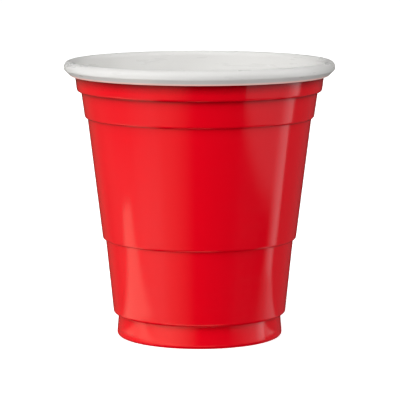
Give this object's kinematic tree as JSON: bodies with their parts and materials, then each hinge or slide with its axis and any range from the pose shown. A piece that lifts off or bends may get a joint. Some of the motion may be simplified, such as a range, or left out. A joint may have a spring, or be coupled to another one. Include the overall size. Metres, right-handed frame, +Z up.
{
  "type": "plastic shot cup",
  "caption": "Small tapered plastic shot cup with a stepped thin wall, a low foot, a raised floor and a hollow rolled lip.",
  "frame": {"origin": "centre of the standing ring, on the table", "axes": "+Z up along the cup's axis of revolution, from the standing ring to the lip"},
  "size_m": [0.052, 0.052, 0.0533],
  "materials": {
    "sheet": "glossy red outside, satin white inside and over the rolled lip: two faces of one sheet"
  },
  "bodies": {
    "root": {"cup": "sheet"}
  },
  "joints": []
}
